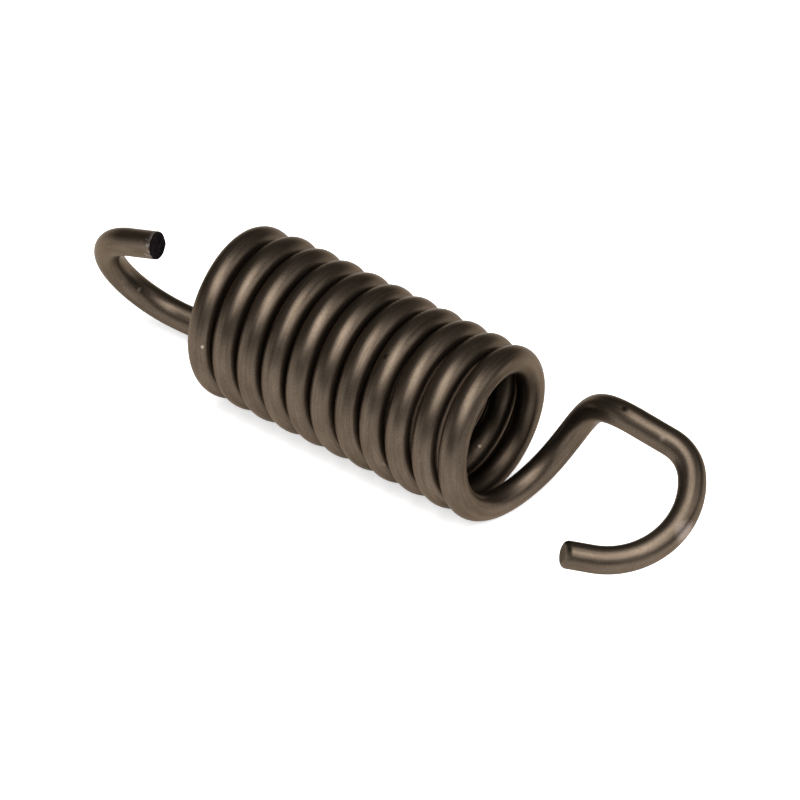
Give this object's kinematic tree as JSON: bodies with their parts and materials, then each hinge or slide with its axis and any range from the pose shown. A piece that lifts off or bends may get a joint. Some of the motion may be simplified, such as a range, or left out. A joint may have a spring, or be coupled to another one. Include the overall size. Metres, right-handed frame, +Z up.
{
  "type": "extension spring",
  "caption": "Extension spring wound from one round steel wire, with an open hook at each end and small gaps between its turns.",
  "frame": {"origin": "under the middle of the spring's length, on the surface that it lies on", "axes": "+X along the coil towards the longer hook, +Z up, +Y across the coil"},
  "size_m": [0.0508, 0.0128, 0.0126],
  "materials": {
    "spring_steel": "satin grey-brown oil-tempered spring wire, bare, with fine draw marks and small light scuffs"
  },
  "bodies": {
    "root": {"spring": "spring_steel"}
  },
  "joints": []
}
